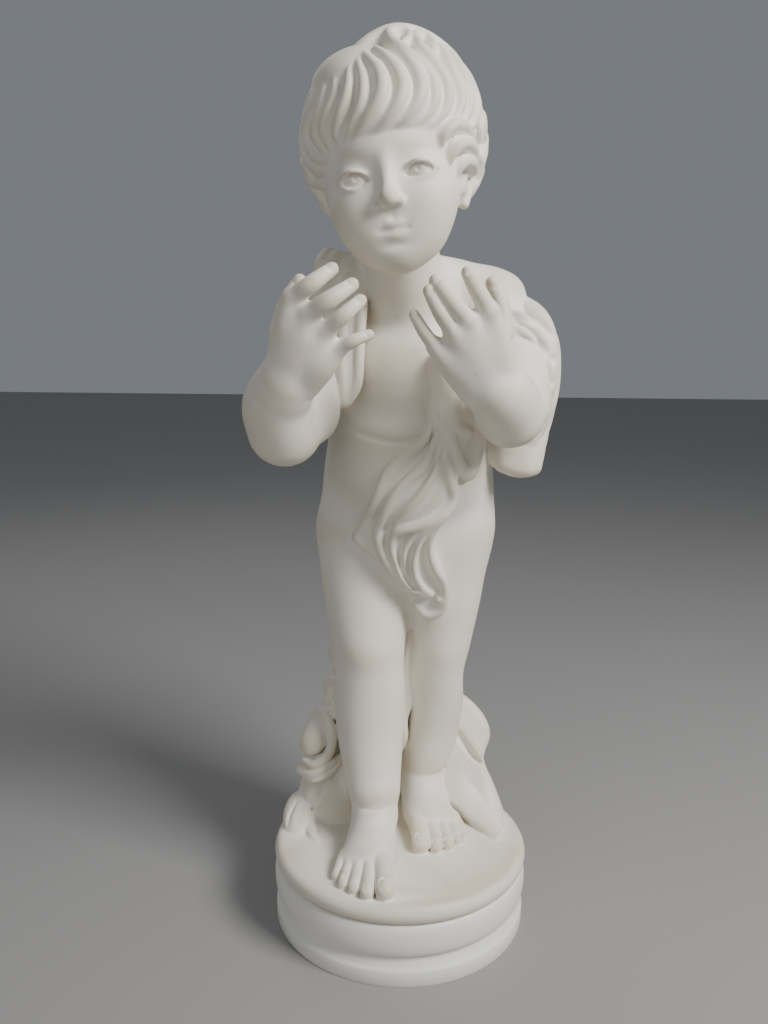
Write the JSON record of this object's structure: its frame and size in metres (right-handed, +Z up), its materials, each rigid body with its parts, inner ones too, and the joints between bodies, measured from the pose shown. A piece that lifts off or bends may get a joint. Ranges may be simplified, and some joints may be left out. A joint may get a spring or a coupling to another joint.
{
  "type": "ceramic statue of a standing child",
  "caption": "Standing child blowing kisses with both hands, draped in loose cloth, with flowers by the feet, cast in one with a round moulded base.",
  "frame": {"origin": "centre of the round base's underside", "axes": "+Z up through the base's centre; the figure faces -Y; +X is the viewer's right"},
  "size_m": [0.2232, 0.2337, 0.6479],
  "materials": {
    "white_ceramic": "matt, unglazed, off-white"
  },
  "bodies": {
    "root": {"statue": "white_ceramic"}
  },
  "joints": []
}
